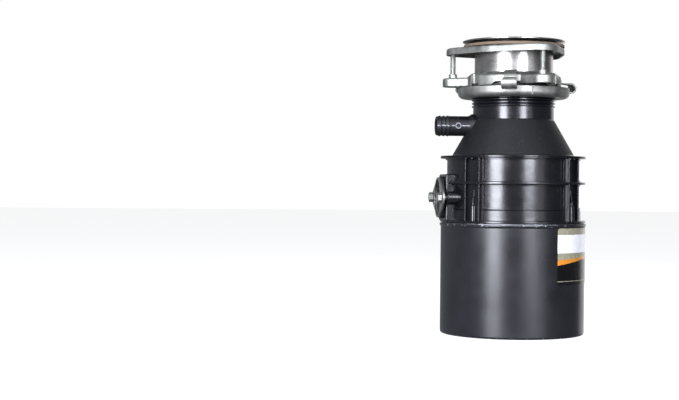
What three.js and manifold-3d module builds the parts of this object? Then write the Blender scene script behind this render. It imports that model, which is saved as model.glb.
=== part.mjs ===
// A kitchen food-waste disposer: motor in a painted can, moulded grind housing and hopper, and the
// pressed-steel sink mount that it hangs from. Millimetres, +Z up. The origin is on the vertical axis,
// at the flat underside of the sink flange's rim, where the flange seats on the sink. The discharge
// outlet and the dishwasher inlet point along -X. Heights in this file are measured up from the
// underside of the motor shell, and turns are measured from the front (-Y) towards +X.
import * as THREE from "three";
import { mergeVertices } from "three/addons/utils/BufferGeometryUtils.js";
import Module from "manifold-3d";

const wasm = await Module();
wasm.setup();

// Driving dimensions
const DROP = 324.3; // from the sink flange's seat down to the underside of the shell
const ROUND = 28; // steps round the large turned shapes
const SMALL_ROUND = 12; // steps round pins, screws and bosses
const GAP = 0.4; // left between faces that touch
const THIRD = 120; // degrees between the three ears, hooks and posts

const SHELL = { radius: 80, wall: 1.4, top: 122.6, bead: 81.3, recess: 4, recessRadius: 56 };
const HOUSING = {
  bottom: 123.6, top: 195.8, inner: 71.5, outer: 74, skirt: 75, skirtTop: 138.5, flange: 80.6, rib: 166,
};
const PILLAR = { turns: [45, 135, 225, 315], finSpread: 9, finWidth: 2, finRadius: 79.6, boltRadius: 75.2 };
const OUTLET = { height: 151, bore: 19, face: 79.5, earOffset: 33, halfWidth: 25, top: 177 };
const INLET = { height: 230.7, radius: 11.1, bore: 8.6, knockOut: 54, end: 87.4, barbs: [85, 80.5, 76.2] };
const HOPPER = { coneRadius: 67.8, neck: 45, neckInner: 41.5, coneTop: 238.1, lip: 54, lipBottom: 264.1 };
const LOWER_RING = { bore: 46.2, bottom: 261.7, radius: 62, top: 273.2, corner: 9.4, wall: 2, firstHook: -15.3 };
const HOOK = { width: 16.5, thickness: 2, rollRadius: 6.1, rollCentre: 68.8, rollHeight: 275.2 };
const RELEASE_TURN = -52; // how far the lower ring turns before its hooks reach the notches
const UPPER_RING = { lip: 44.3, lipTop: 289.5, skirt: 52.5, skirtTop: 284.8, skirtBottom: 277.6, wall: 2 };
const EAR = { firstTurn: 16, screwCircle: 68, tip: 11.5, flank: 19, top: 282.6, rim: 7.6, collar: 287.3 };
const SCREW = { radius: 3.175, top: 315.6, headBottom: 276.2, headTop: 280.4, headFlats: 11 };
const BACKUP = { top: 318, wall: 2, rim: 7.6, radius: 56, tip: 24.5, tipCentre: 51, bore: 43.9 };
const FLANGE = { radius: 57, tube: 43.5, wall: 1.4, bottom: 273, rimThickness: 1.7 };
const SHAFT = { radius: 6.2, bottom: 7.5, top: 187.5, socketFlats: 6.35, socketDepth: 10 };
const PLATE = { radius: 66.4, bottom: 176, top: 178.6, lugCircle: 46 };
const SHREDDER = { inner: 67.2, outer: 71.1, bottom: 171.2, top: 190 };
const STATOR = { inner: 46, outer: 72, bottom: 52, top: 82 };
const ROTOR = { bore: 6.6, ringInner: 33, ringOuter: 43, radius: 45.3, bottom: 50, top: 84, ringHeight: 4 };
const END_FRAME = { radius: 78.2, lowerBottom: 29.5, lowerTop: 33, upperBottom: 116.5, upperTop: 123.2 };
const CONDUIT = { x: 32, y: -18, radius: 11.1 };
const BUTTON = { x: -30, y: -22, radius: 4, bottom: 3.2, top: 16 };
const PAN_SCREW = { core: 1.45, clearance: 1.9, headHeight: 1.9, slot: 1 };
const SHELL_SCREW_CIRCLE = 44;
const COVER = { halfWidth: 21, front: 16.5, back: 51, bottom: 2.3, top: 3.6, screwY: 20.5 };
const LABEL = { from: 26, to: 102, bottom: 58, top: 119, thickness: 0.4 };
const AXIS = 0.01; // the innermost radius of a turned outline that is solid to its axis

// Finishes: [colour, roughness, metalness]
const CHARCOAL_PAINT = ["#29292d", 0.38, 0.1];
const BLACK_PLASTIC = ["#17171b", 0.35, 0];
const ZINC = ["#b4b7ba", 0.3, 1];
const STAINLESS = ["#b9b8b4", 0.28, 1];
const RUBBER = ["#141416", 0.75, 0];
const FIBRE = ["#8a6f52", 0.9, 0];
const CAST_ALUMINIUM = ["#a3a5a8", 0.5, 1];
const LAMINATION = ["#5c5e63", 0.55, 0.9];
const COPPER = ["#a8612f", 0.4, 0.9];
const BRONZE = ["#9a7434", 0.45, 0.9];
const BRIGHT_STEEL = ["#c2c4c6", 0.25, 1];
const RED_PLASTIC = ["#a81c18", 0.4, 0];
const GREEN_PAINT = ["#1f7a3a", 0.5, 0.2];
const LABEL_FILM = ["#d8d8d4", 0.4, 0];

const part = new THREE.Group();
const unit = new THREE.Group();
unit.position.z = -DROP;
part.add(unit);

const radians = (degrees) => (degrees * Math.PI) / 180;
const bearing = (degrees, radius) => [
  radius * Math.sin(radians(degrees)),
  -radius * Math.cos(radians(degrees)),
];

// Adds a named mesh to the unit.
function piece(name, geometry, [color, roughness, metalness]) {
  const mesh = new THREE.Mesh(
    geometry,
    new THREE.MeshStandardMaterial({ color, roughness, metalness }),
  );
  mesh.name = name;
  unit.add(mesh);
}

function toSolid(geometry) {
  const bare = geometry.clone();
  bare.deleteAttribute("normal");
  bare.deleteAttribute("uv");
  const merged = mergeVertices(bare, 1e-4);
  return new wasm.Manifold(
    new wasm.Mesh({
      numProp: 3,
      vertProperties: new Float32Array(merged.attributes.position.array),
      triVerts: new Uint32Array(merged.index.array),
    }),
  );
}

function toGeometry(solid) {
  const mesh = solid.getMesh();
  const geometry = new THREE.BufferGeometry();
  geometry.setAttribute("position", new THREE.BufferAttribute(mesh.vertProperties, 3));
  geometry.setIndex(new THREE.BufferAttribute(mesh.triVerts, 1));
  return geometry;
}

const join = (first, ...rest) =>
  toGeometry(rest.reduce((sum, other) => sum.add(toSolid(other)), toSolid(first)));
const cut = (first, ...rest) =>
  toGeometry(rest.reduce((left, other) => left.subtract(toSolid(other)), toSolid(first)));

// Turns a closed outline of [radius, height] points about the vertical axis.
function turned(outline, steps = ROUND) {
  const area = outline.reduce((sum, [r, h], i) => {
    const [nextR, nextH] = outline[(i + 1) % outline.length];
    return sum + r * nextH - nextR * h;
  }, 0);
  const ordered = area > 0 ? outline : [...outline].reverse();
  const points = [...ordered, ordered[0]].map(([r, h]) => new THREE.Vector2(r, h));
  return new THREE.LatheGeometry(points, steps).rotateX(Math.PI / 2);
}

// A plain ring or, with no inner radius, a disc.
function ring(inner, outer, bottom, top, steps = ROUND) {
  if (!inner) return post(outer, bottom, top, 0, 0, steps);
  return turned([[inner, bottom], [outer, bottom], [outer, top], [inner, top]], steps);
}

function post(radius, bottom, top, x = 0, y = 0, steps = SMALL_ROUND) {
  return new THREE.CylinderGeometry(radius, radius, top - bottom, steps)
    .rotateX(Math.PI / 2)
    .translate(x, y, (bottom + top) / 2);
}

// A round bar along X.
function barX(radius, from, to, y, height, steps = SMALL_ROUND) {
  return new THREE.CylinderGeometry(radius, radius, to - from, steps)
    .rotateZ(Math.PI / 2)
    .translate((from + to) / 2, y, height);
}

function block([x0, x1], [y0, y1], [z0, z1]) {
  return new THREE.BoxGeometry(x1 - x0, y1 - y0, z1 - z0).translate(
    (x0 + x1) / 2,
    (y0 + y1) / 2,
    (z0 + z1) / 2,
  );
}

// An outline in plan, raised from bottom to top.
function raised(points, bottom, top) {
  const shape = new THREE.Shape(points.map(([x, y]) => new THREE.Vector2(x, y)));
  return new THREE.ExtrudeGeometry(shape, { depth: top - bottom, bevelEnabled: false }).translate(
    0,
    0,
    bottom,
  );
}

const turn = (geometry, degrees) => geometry.clone().rotateZ(radians(degrees));
const hexagon = (flats) =>
  Array.from({ length: 6 }, (_, i) => bearing(60 * i, flats / 2 / Math.cos(Math.PI / 6)));

// ---- sink fitting ----

function sinkFlange() {
  const { radius, tube, wall, bottom, rimThickness } = FLANGE;
  const inner = tube - wall;
  return turned([
    [tube, bottom], [tube, 283.9], [tube - 0.8, 284.3], [tube - 0.8, 287.5], [tube, 287.9],
    [tube, 319.3], [44.6, 322.6], [47.8, DROP], [radius, DROP], [radius, DROP + 0.9],
    [56.2, DROP + rimThickness], [47.5, DROP + rimThickness], [43.6, DROP],
    [inner, 320.3], [inner, 288.2], [inner - 0.7, 287.7], [inner - 0.7, 284.1], [inner, 283.6],
    [inner, bottom],
  ]);
}

// A rounded three-lobed outline: the tight wrap round a disc and three tips on the screw bearings.
function lobedOutline(radius, tip, tipCentre) {
  const lean = (Math.acos((radius - tip) / tipCentre) * 180) / Math.PI;
  const points = [];
  for (let lobe = 0; lobe < 3; lobe++) {
    const facing = EAR.firstTurn + THIRD * lobe;
    const [cx, cy] = bearing(facing, tipCentre);
    for (let step = 0; step <= 6; step++) {
      const [dx, dy] = bearing(facing - lean + (2 * lean * step) / 6, tip);
      points.push([cx + dx, cy + dy]);
    }
    for (let step = 0; step <= 3; step++)
      points.push(bearing(facing + lean + ((THIRD - 2 * lean) * step) / 3, radius));
  }
  return points;
}

function backupFlange() {
  const { top, wall, rim, radius, tip, tipCentre, bore } = BACKUP;
  return cut(
    raised(lobedOutline(radius, tip, tipCentre), top - rim, top),
    raised(lobedOutline(radius - wall, tip - wall, tipCentre), top - rim - 1, top - wall),
    ring(0, bore, top - rim, top + 1),
  );
}

function earOutline(tip, flank) {
  const points = [[-flank, -45]];
  for (let step = 0; step <= 8; step++) {
    const [dx, dy] = bearing(-80 + 20 * step, tip);
    points.push([dx, dy - EAR.screwCircle]);
  }
  return [...points, [flank, -45]];
}

function mountingRing() {
  const { lip, lipTop, skirt, skirtTop, skirtBottom, wall } = UPPER_RING;
  const { firstTurn, screwCircle, tip, flank, top, rim, collar } = EAR;
  let body = turned([
    [lip, lipTop - wall], [45.7, lipTop - wall], [skirt - wall, 283.9], [skirt - wall, skirtBottom],
    [skirt, skirtBottom], [skirt, skirtTop], [46.2, lipTop], [lip, lipTop],
  ]);
  const notches = [];
  for (let ear = 0; ear < 3; ear++) {
    const facing = firstTurn + THIRD * ear;
    const [x, y] = bearing(facing, screwCircle);
    const tray = cut(
      raised(earOutline(tip, flank), top - rim, top),
      raised(earOutline(tip - wall, flank - wall), top - rim - 1, top - wall),
      ring(0, skirt - wall + 0.2, top - rim - 1, top + 1),
    );
    body = join(body, turn(tray, facing), post(4.6, top - 0.5, collar, x, y));
    notches.push(post(SCREW.radius + GAP, top - rim, collar + 1, x, y));
    const notch = block([-10.5, 10.5], [-60, -47.2], [skirtBottom - 1, lipTop + 1]);
    notches.push(turn(notch, LOWER_RING.firstHook + RELEASE_TURN + THIRD * ear));
  }
  return cut(body, ...notches);
}

// A round-wire ring with a gap, sprung into the groove of the flange's tube.
function snapRing() {
  const wireRadius = 1.15;
  const section = new THREE.Shape();
  section.absarc(0, 0, wireRadius, 0, 2 * Math.PI);
  class RingPath extends THREE.Curve {
    getPoint(t) {
      const [x, y] = bearing(195 + 330 * t, 44.3);
      return new THREE.Vector3(x, y, 285.9);
    }
  }
  return new THREE.ExtrudeGeometry(section, {
    steps: 30, curveSegments: 3, extrudePath: new RingPath(), bevelEnabled: false,
  });
}

function mountingScrew(ear) {
  const [x, y] = bearing(EAR.firstTurn + THIRD * ear, EAR.screwCircle);
  const { radius, top, headBottom, headTop, headFlats } = SCREW;
  const slot = block([-7, 7], [-0.7, 0.7], [headBottom - 1, headBottom + 1.5]);
  const head = raised(hexagon(headFlats), headBottom, headTop).translate(x, y, 0);
  return cut(join(post(radius, headTop - 0.5, top, x, y, 16), head), slot.translate(x, y, 0));
}

// ---- lower mounting ring, which turns to lock the unit to the upper ring ----

// A strap rolled into a loop outside the ring, whose end reaches in over the upper ring's dome.
function hook() {
  const { thickness, rollRadius, rollCentre, rollHeight, width } = HOOK;
  const loop = (radius, from, to) =>
    Array.from({ length: 9 }, (_, i) => {
      const angle = radians(from + ((to - from) * i) / 8);
      return [rollCentre + radius * Math.cos(angle), rollHeight + radius * Math.sin(angle)];
    });
  const outside = [[60.5, 268.7], ...loop(rollRadius, -78, 90), [57.2, 281.5], [55.9, 283.4],
    [54.6, 286.2], [48, 291.1]];
  const inside = [[48, 288.7], [53.2, 284.9], [53.9, 281.5], [56, 279.4],
    ...loop(rollRadius - thickness, 90, -78), [60.5, 270.9]];
  const shape = new THREE.Shape([...outside, ...inside].map(([r, h]) => new THREE.Vector2(r, h)));
  return new THREE.ExtrudeGeometry(shape, { depth: width, bevelEnabled: false })
    .translate(0, 0, -width / 2)
    .rotateX(Math.PI / 2)
    .rotateZ(-Math.PI / 2);
}

function lowerMountingRing() {
  const { bore, bottom, radius, top, corner, wall, firstHook } = LOWER_RING;
  const turnIn = (outer, step) => {
    const angle = radians(-90 + 22.5 * step);
    return [radius - corner + outer * Math.cos(angle), bottom + corner + outer * Math.sin(angle)];
  };
  let body = turned([
    [bore, bottom], ...[0, 1, 2, 3, 4].map((step) => turnIn(corner, step)), [radius, top],
    [radius - wall, top], ...[4, 3, 2, 1, 0].map((step) => turnIn(corner - wall, step)),
    [bore, bottom + wall],
  ]);
  for (let i = 0; i < 3; i++) body = join(body, turn(hook(), firstHook + THIRD * i));
  return body;
}

// ---- hopper and grind chamber, moulded in glass-filled plastic ----

// Moulded rubber collar that seals the hopper's lip to the sink flange, with slit flaps across the throat.
function splashGuard() {
  const collar = turned([
    [42, 266.9], [55, 266.9], [55, 270.5], [49.5, 272], [49.5, 276.8], [44, 276.8], [44, 272.7],
    [41, 272.7], [13, 265.6], [13, 264], [40.6, 270.6],
  ]);
  const slits = Array.from({ length: 8 }, (_, i) =>
    turn(block([-0.5, 0.5], [-38, -12], [260, 276]), 22.5 + 45 * i),
  );
  return cut(collar, ...slits);
}

function hopper() {
  const { coneRadius, neck, neckInner, coneTop, lip, lipBottom } = HOPPER;
  const base = HOUSING.top + 0.3;
  const shell = turned([
    [68.2, 191.9], [HOUSING.inner - GAP, 191.9], [HOUSING.inner - GAP, base], [HOUSING.flange, base],
    [HOUSING.flange, base + 1.2], [coneRadius, base + 1.4], [neck, coneTop], [neck, 254.6],
    [neck + 1.3, 255.2], [neck + 1.3, 256.2], [neck - 1.1, 257], [neck - 1.1, 259.2],
    [neck + 1, 259.8], [neck + 1, 260.7], [neck, 261.1], [neck, lipBottom], [lip, lipBottom],
    [lip, 266.6], [neckInner, 266.6], [neckInner, 239], [65.2, 198], [68.2, 195],
  ]);
  const tube = inletTube();
  const inside = turned([[AXIS, 190], [68.2, 190], [68.2, 195], [65.2, 198], [neckInner, 239],
    [neckInner, 270], [AXIS, 270]]);
  const bore = barX(INLET.bore, -INLET.end - 1, -INLET.knockOut, 0, INLET.height, 16);
  return cut(join(shell, cut(tube, inside)), bore);
}

// The dishwasher inlet: a hose spigot with three barbs, whose knock-out is still in place.
function inletTube() {
  const { radius, end, barbs, height } = INLET;
  const outline = [[AXIS, 40], [radius, 40], [radius, barbs[2] - 3]];
  for (const barb of [...barbs].reverse()) {
    outline.push([radius + 0.6, barb - 2.2], [radius - 0.5, barb + 1]);
  }
  outline.push([radius - 0.9, end], [AXIS, end]);
  return turned(outline, 16).rotateY(-Math.PI / 2).translate(0, 0, height);
}

// A pair of upright fins with a web and a screw boss, at the front of the housing.
function pillar() {
  const { finSpread, finWidth, finRadius, boltRadius } = PILLAR;
  const span = [126.2, 194.8];
  const fin = (x) => block([x - finWidth / 2, x + finWidth / 2], [-finRadius, -72.2], span);
  const boss = turned([[AXIS, 125], [4.3, 125], [4.3, 141], [2.6, 144.4], [AXIS, 145]], 16);
  return join(
    fin(-finSpread), fin(finSpread), block([-finSpread, finSpread], [-75.4, -72.2], span),
    boss.translate(0, -boltRadius, 0),
  );
}

function grindHousing() {
  const { bottom, top, inner, outer, skirt, skirtTop, flange, rib } = HOUSING;
  let body = turned([
    [inner, bottom], [flange, bottom], [flange, bottom + 2.8], [skirt, bottom + 2.8], [skirt, skirtTop],
    [outer, skirtTop + 0.3], [outer, rib], [flange - 0.2, rib], [flange - 0.2, rib + 3],
    [outer, rib + 3], [outer, top - 1.2], [flange, top - 1.2], [flange, top], [inner, top],
    [inner, 127.6], [67, 127.6], [67, 125.6], [inner, 125.6],
  ]);
  for (const facing of PILLAR.turns) body = join(body, turn(pillar(), facing));
  const { height, bore, face, earOffset, halfWidth, top: portTop } = OUTLET;
  const port = cut(
    join(
      block([-face, -60], [-halfWidth, halfWidth], [bottom + 1, portTop]),
      block([-face, -66], [-earOffset, earOffset], [height - 6, height + 6]),
      barX(7, -face, -62, earOffset, height),
      barX(7, -face, -62, -earOffset, height),
    ),
    ring(0, inner + 1, 100, 200),
  );
  body = join(body, port);
  const holes = PILLAR.turns.map((facing) => {
    const [x, y] = bearing(facing, PILLAR.boltRadius);
    return post(2.6, 120, 141, x, y, 12);
  });
  for (const side of [-1, 1]) holes.push(barX(3.3, -face - 1, -70, side * earOffset, height, 12));
  return cut(body, barX(bore, -face - 1, -55, 0, height, 24), ...holes);
}

// ---- discharge flange ----

// An outline in the plane across the outlet, wrapped round a disc and two ears.
function yokeOutline(radius, tip) {
  const lean = Math.acos((radius - tip) / OUTLET.earOffset);
  const points = [];
  for (const side of [0, Math.PI]) {
    const cx = OUTLET.earOffset * Math.cos(side);
    for (let step = 0; step <= 6; step++) {
      const angle = side - lean + (2 * lean * step) / 6;
      points.push([cx + tip * Math.cos(angle), tip * Math.sin(angle)]);
    }
    for (let step = 0; step <= 6; step++) {
      const angle = side + lean + ((Math.PI - 2 * lean) * step) / 6;
      points.push([radius * Math.cos(angle), radius * Math.sin(angle)]);
    }
  }
  return points;
}

// Stands a plan outline up so that it faces along -X.
const acrossOutlet = (geometry, x) =>
  geometry.rotateY(-Math.PI / 2).rotateX(Math.PI / 2).translate(x, 0, OUTLET.height);

function dischargeFlange() {
  const plate = cut(
    join(raised(yokeOutline(22.5, 8), 0, 2.2), ring(0, 22.2, 2, 2.6, 24)),
    ring(0, 20, -1, 4, 24),
    post(3.3, -1, 4, OUTLET.earOffset, 0, 12),
    post(3.3, -1, 4, -OUTLET.earOffset, 0, 12),
  );
  return acrossOutlet(plate, -OUTLET.face - 3.1);
}

function dischargeBolt(side) {
  const y = side * OUTLET.earOffset;
  const outerFace = OUTLET.face + 3.1 + 2.2;
  const head = raised(hexagon(10), 0, 4.6)
    .rotateY(-Math.PI / 2)
    .translate(-outerFace - GAP, y, OUTLET.height);
  return join(head, barX(2.9, -outerFace - 1, -72, y, OUTLET.height, 16));
}

// ---- grinding parts ----

function shredderRing() {
  const { inner, outer, bottom, top } = SHREDDER;
  const slots = Array.from({ length: 18 }, (_, i) =>
    turn(block([-2.2, 2.2], [-outer - 2, -inner + 4], [bottom - 1, bottom + 7]), 20 * i),
  );
  return cut(ring(inner, outer, bottom, top), ...slots);
}

function shredderPlate() {
  const { radius, bottom, top, lugCircle } = PLATE;
  const disc = join(ring(6.6, radius, bottom, top), ring(6.6, 15, 169, bottom + 1, 24));
  const holes = [90, 270].map((facing) => {
    const [x, y] = bearing(facing, lugCircle);
    return post(3.6, bottom - 1, top + 1, x, y, 12);
  });
  for (let i = 0; i < 12; i++) {
    const [x, y] = bearing(15 + 30 * i, 57);
    holes.push(post(3, bottom - 1, top + 1, x, y, 8));
  }
  return cut(disc, ...holes);
}

// A cast hammer that swings freely on its pin; it is heavier on its outer side.
function swivelLug(facing) {
  const body = join(
    post(9, 179, 186, 0, 0, 16),
    block([-8, 8], [-16.5, 0], [179, 186]),
    block([-8, 8], [-16.5, -9], [185.5, 191]),
  );
  const [x, y] = bearing(facing, PLATE.lugCircle);
  return turn(cut(body, post(3.6, 178, 188, 0, 0, 12)), facing).translate(x, y, 0);
}

function lugPin(facing) {
  const [x, y] = bearing(facing, PLATE.lugCircle);
  return join(
    post(3.2, 174.2, 187, x, y, 12),
    post(5.2, 186.4, 188, x, y, 12),
    post(5, 173.6, 175.6, x, y, 12),
  );
}

// ---- motor ----

function motorShaft() {
  const { radius, bottom, top, socketFlats, socketDepth } = SHAFT;
  const socket = raised(hexagon(socketFlats), bottom - 1, bottom + socketDepth);
  return cut(post(radius, bottom, top, 0, 0, 24), socket);
}

function rotorCore() {
  const { bore, ringInner, ringOuter, radius, bottom, top, ringHeight } = ROTOR;
  return turned([
    [bore, bottom], [ringInner, bottom], [ringInner, bottom - ringHeight], [ringOuter, bottom - ringHeight],
    [ringOuter, bottom], [radius, bottom], [radius, top], [ringOuter, top], [ringOuter, top + ringHeight],
    [ringInner, top + ringHeight], [ringInner, top], [bore, top],
  ], 24);
}

// A skirted disc on the shaft that throws leaking water clear of the seal.
function waterSlinger() {
  return turned([[6.6, 136], [10, 136], [19, 138.6], [19, 140.4], [9, 143], [6.6, 143]], 20);
}

// The collar that slides up the shaft at speed and lets the start switch open.
function governorCollar() {
  return turned([[6.8, 33.8], [15, 33.8], [15, 35.6], [10, 36.4], [10, 38], [6.8, 38]], 24);
}

function statorCore() {
  const { inner, outer, bottom, top } = STATOR;
  return ring(inner, outer, bottom, top, 32);
}

function winding(bottom, top) {
  return turned([[49, bottom + 3], [52, bottom], [63, bottom], [66, bottom + 3], [66, top - 2],
    [64, top], [51, top], [49, top - 2]], 24);
}

function boltHoles(bottom, top) {
  return PILLAR.turns.map((facing) => {
    const [x, y] = bearing(facing, PILLAR.boltRadius);
    return post(2.5, bottom, top, x, y, 12);
  });
}

function upperEndFrame() {
  const { radius, upperBottom, upperTop } = END_FRAME;
  const dish = turned([
    [11.1, 100], [20, 100], [24, upperBottom], [radius, upperBottom], [radius, upperTop],
    [64, upperTop], [62, 126], [34, 128], [20, 135], [11.1, 135],
  ]);
  return cut(dish, ...boltHoles(110, 130));
}

function lowerEndFrame() {
  const { radius, lowerBottom, lowerTop } = END_FRAME;
  let frame = turned([[10.4, 20], [14.5, 20], [16.5, lowerBottom], [radius, lowerBottom],
    [radius, lowerTop], [10.4, lowerTop]]);
  for (let i = 0; i < 3; i++) {
    const [x, y] = bearing(THIRD * i, SHELL_SCREW_CIRCLE);
    frame = join(frame, post(5, 5.9, 30, x, y, 14));
  }
  const holes = [0, 1, 2].map((i) => {
    const [x, y] = bearing(THIRD * i, SHELL_SCREW_CIRCLE);
    return post(PAN_SCREW.clearance, 5, 18, x, y, 10);
  });
  const groundHole = post(PAN_SCREW.clearance, 29, 34, 12, 36, 10);
  return cut(frame, ...holes, groundHole, ...boltHoles(28, 34));
}

function throughBolt(facing) {
  const [x, y] = bearing(facing, PILLAR.boltRadius);
  const headTop = END_FRAME.lowerBottom - GAP;
  return join(
    post(2.15, headTop - 1, 139, x, y, 12),
    raised(hexagon(4.6), headTop - 3.6, headTop).translate(x, y, 0),
  );
}

// ---- shell, wiring and controls ----

function motorShell() {
  const { radius, wall, top, bead, recess, recessRadius } = SHELL;
  const inside = radius - wall;
  const can = turned([
    [8.5, recess], [recessRadius, recess], [recessRadius + 4, 0], [75.5, 0], [78.7, 1.3], [radius, 4.5],
    [radius, top - 3.1], [bead, top - 1.6], [bead, top], [inside + 1, top], [inside, top - 2.1],
    [inside, 5], [77.6, 2.3], [75.2, wall], [recessRadius + 4.8, wall], [recessRadius + 0.6, recess + wall],
    [8.5, recess + wall],
  ]);
  const holes = [0, 1, 2].map((i) => {
    const [x, y] = bearing(THIRD * i, SHELL_SCREW_CIRCLE);
    return post(PAN_SCREW.clearance, 0, 8, x, y, 10);
  });
  const conduitRim = post(CONDUIT.radius + 2.4, recess - 0.5, recess + 1, CONDUIT.x, CONDUIT.y, 24);
  return cut(
    join(can, conduitRim), ...holes,
    post(CONDUIT.radius, 0, 8, CONDUIT.x, CONDUIT.y, 24),
    post(BUTTON.radius + 0.6, 0, 8, BUTTON.x, BUTTON.y),
    block([-18, 18], [24, 48], [0, 8]),
    post(PAN_SCREW.clearance, 0, 8, 0, COVER.screwY, 10),
  );
}

// The plate over the wiring room.
function terminalCover() {
  const { halfWidth, front, back, bottom, top, screwY } = COVER;
  return cut(
    block([-halfWidth, halfWidth], [front, back], [bottom, top]),
    post(PAN_SCREW.clearance, 0, 8, 0, screwY, 10),
  );
}

// A slotted pan-head screw, seated with its head under a plate at the given height.
function panScrew(x, y, seat, length, headRadius) {
  const { core, headHeight, slot } = PAN_SCREW;
  const head = post(headRadius, seat - headHeight, seat, x, y, 16);
  return cut(
    join(post(core, seat - 1, seat + length, x, y, 12), head),
    block([x - 6, x + 6], [y - slot / 2, y + slot / 2], [seat - headHeight - 1, seat - headHeight + 0.8]),
  );
}

function overloadProtector() {
  const { x, y, radius } = BUTTON;
  return cut(
    block([x - 12, x + 12], [y - 8.5, y + 8.5], [6, 26]),
    post(radius + GAP, 5, BUTTON.top + 1, x, y),
  );
}

function resetButton() {
  const { x, y, radius, bottom, top } = BUTTON;
  const outline = [
    [AXIS, bottom], [radius - 0.7, bottom], [radius, bottom + 0.7], [radius, top], [AXIS, top],
  ];
  return turned(outline, 20).translate(x, y, 0);
}

// Printed film on the shell, from the right front round the side.
function ratingLabel() {
  const { from, to, bottom, top, thickness } = LABEL;
  const steps = 14;
  const face = SHELL.radius + 0.3;
  const arc = (radius, start, end) =>
    Array.from({ length: steps + 1 }, (_, i) => bearing(start + ((end - start) * i) / steps, radius));
  return raised([...arc(face + thickness, from, to), ...arc(face, to, from)], bottom, top);
}

// ---- assembly ----

piece("sink_flange", sinkFlange(), STAINLESS);
piece("fibre_gasket", ring(48, 56, 318.3, 321.3), FIBRE);
piece("backup_flange", backupFlange(), ZINC);
piece("mounting_ring", mountingRing(), ZINC);
piece("snap_ring", snapRing(), BRIGHT_STEEL);
for (let i = 0; i < 3; i++) piece(`mounting_screw_${i + 1}`, mountingScrew(i), ZINC);

piece("lower_mounting_ring", lowerMountingRing(), ZINC);
piece("splash_guard", splashGuard(), RUBBER);
piece("hopper", hopper(), BLACK_PLASTIC);
piece("hopper_seal", ring(68.3, 71.1, 190.3, 191.6), RUBBER);
piece("grind_housing", grindHousing(), BLACK_PLASTIC);
piece("chamber_gasket", ring(67.3, 71.1, 123.6, 125.2), RUBBER);

piece("discharge_gasket", acrossOutlet(ring(19.2, 23.5, 0, 2.4, 24), -OUTLET.face - 0.3), RUBBER);
piece("discharge_flange", dischargeFlange(), ZINC);
piece("discharge_bolt_1", dischargeBolt(-1), ZINC);
piece("discharge_bolt_2", dischargeBolt(1), ZINC);

piece("shredder_ring", shredderRing(), STAINLESS);
piece("shredder_plate", shredderPlate(), STAINLESS);
piece("shredder_nut", cut(raised(hexagon(19), 179, 186), post(6.6, 178, 187)), STAINLESS);
[90, 270].forEach((facing, i) => {
  piece(`swivel_lug_${i + 1}`, swivelLug(facing), STAINLESS);
  piece(`lug_pin_${i + 1}`, lugPin(facing), STAINLESS);
});
piece("water_slinger", waterSlinger(), RUBBER);

piece("motor_shaft", motorShaft(), BRIGHT_STEEL);
piece("rotor_core", rotorCore(), LAMINATION);
piece("governor_hub", ring(6.6, 20, 41.6, 45.6, 24), BLACK_PLASTIC);
piece("governor_collar", governorCollar(), BLACK_PLASTIC);
piece("stator_core", statorCore(), LAMINATION);
piece("stator_winding_lower", winding(STATOR.bottom - 11.5, STATOR.bottom - 0.3), COPPER);
piece("stator_winding_upper", winding(STATOR.top + 0.3, STATOR.top + 12), COPPER);
piece("upper_end_frame", upperEndFrame(), CAST_ALUMINIUM);
piece("upper_bearing", ring(6.6, 10.8, 101, 121, 24), BRONZE);
piece("shaft_seal", ring(6.6, 10.8, 122, 134.6, 24), RUBBER);
piece("lower_end_frame", lowerEndFrame(), CAST_ALUMINIUM);
piece("lower_bearing", ring(6.6, 10, 20.5, 32.4, 24), BRONZE);
piece("start_switch", block([17, 38], [-9, 9], [33.4, 39.6]), BLACK_PLASTIC);
PILLAR.turns.forEach((facing, i) => piece(`through_bolt_${i + 1}`, throughBolt(facing), ZINC));

piece("motor_shell", motorShell(), CHARCOAL_PAINT);
for (let i = 0; i < 3; i++) {
  const [x, y] = bearing(THIRD * i, SHELL_SCREW_CIRCLE);
  piece(`shell_screw_${i + 1}`, panScrew(x, y, SHELL.recess - 0.3, 12, 4), ZINC);
}
piece("terminal_cover", terminalCover(), CHARCOAL_PAINT);
piece("cover_screw", panScrew(0, COVER.screwY, COVER.bottom - 0.3, 8, 3), ZINC);
piece("ground_screw", panScrew(12, 36, END_FRAME.lowerBottom - GAP, 3.4, 4), GREEN_PAINT);
piece("overload_protector", overloadProtector(), BLACK_PLASTIC);
piece("reset_button", resetButton(), RED_PLASTIC);
piece("rating_label", ratingLabel(), LABEL_FILM);

export default part;
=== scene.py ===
import math

import bmesh
import bpy
from mathutils import Matrix, Vector


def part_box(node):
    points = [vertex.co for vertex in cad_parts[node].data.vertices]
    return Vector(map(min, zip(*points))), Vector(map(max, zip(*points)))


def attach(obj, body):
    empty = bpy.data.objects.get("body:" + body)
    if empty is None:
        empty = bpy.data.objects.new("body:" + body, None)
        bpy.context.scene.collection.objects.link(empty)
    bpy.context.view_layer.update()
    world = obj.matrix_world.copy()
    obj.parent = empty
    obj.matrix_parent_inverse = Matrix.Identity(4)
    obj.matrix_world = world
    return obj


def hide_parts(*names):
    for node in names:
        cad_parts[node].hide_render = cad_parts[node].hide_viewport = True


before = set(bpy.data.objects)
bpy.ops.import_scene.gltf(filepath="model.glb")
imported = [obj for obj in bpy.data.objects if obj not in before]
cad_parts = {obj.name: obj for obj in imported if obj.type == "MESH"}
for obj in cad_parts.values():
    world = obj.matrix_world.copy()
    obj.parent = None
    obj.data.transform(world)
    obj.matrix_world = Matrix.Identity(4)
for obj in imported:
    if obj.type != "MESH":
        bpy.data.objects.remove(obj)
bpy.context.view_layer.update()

# ---- Sink flange ----
# A stainless steel sleeve, spun from sheet. Its rim seats in the sink and its tube hangs through it.
# The tube has a rolled groove for the snap ring and keeps fine turning lines all round.

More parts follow.
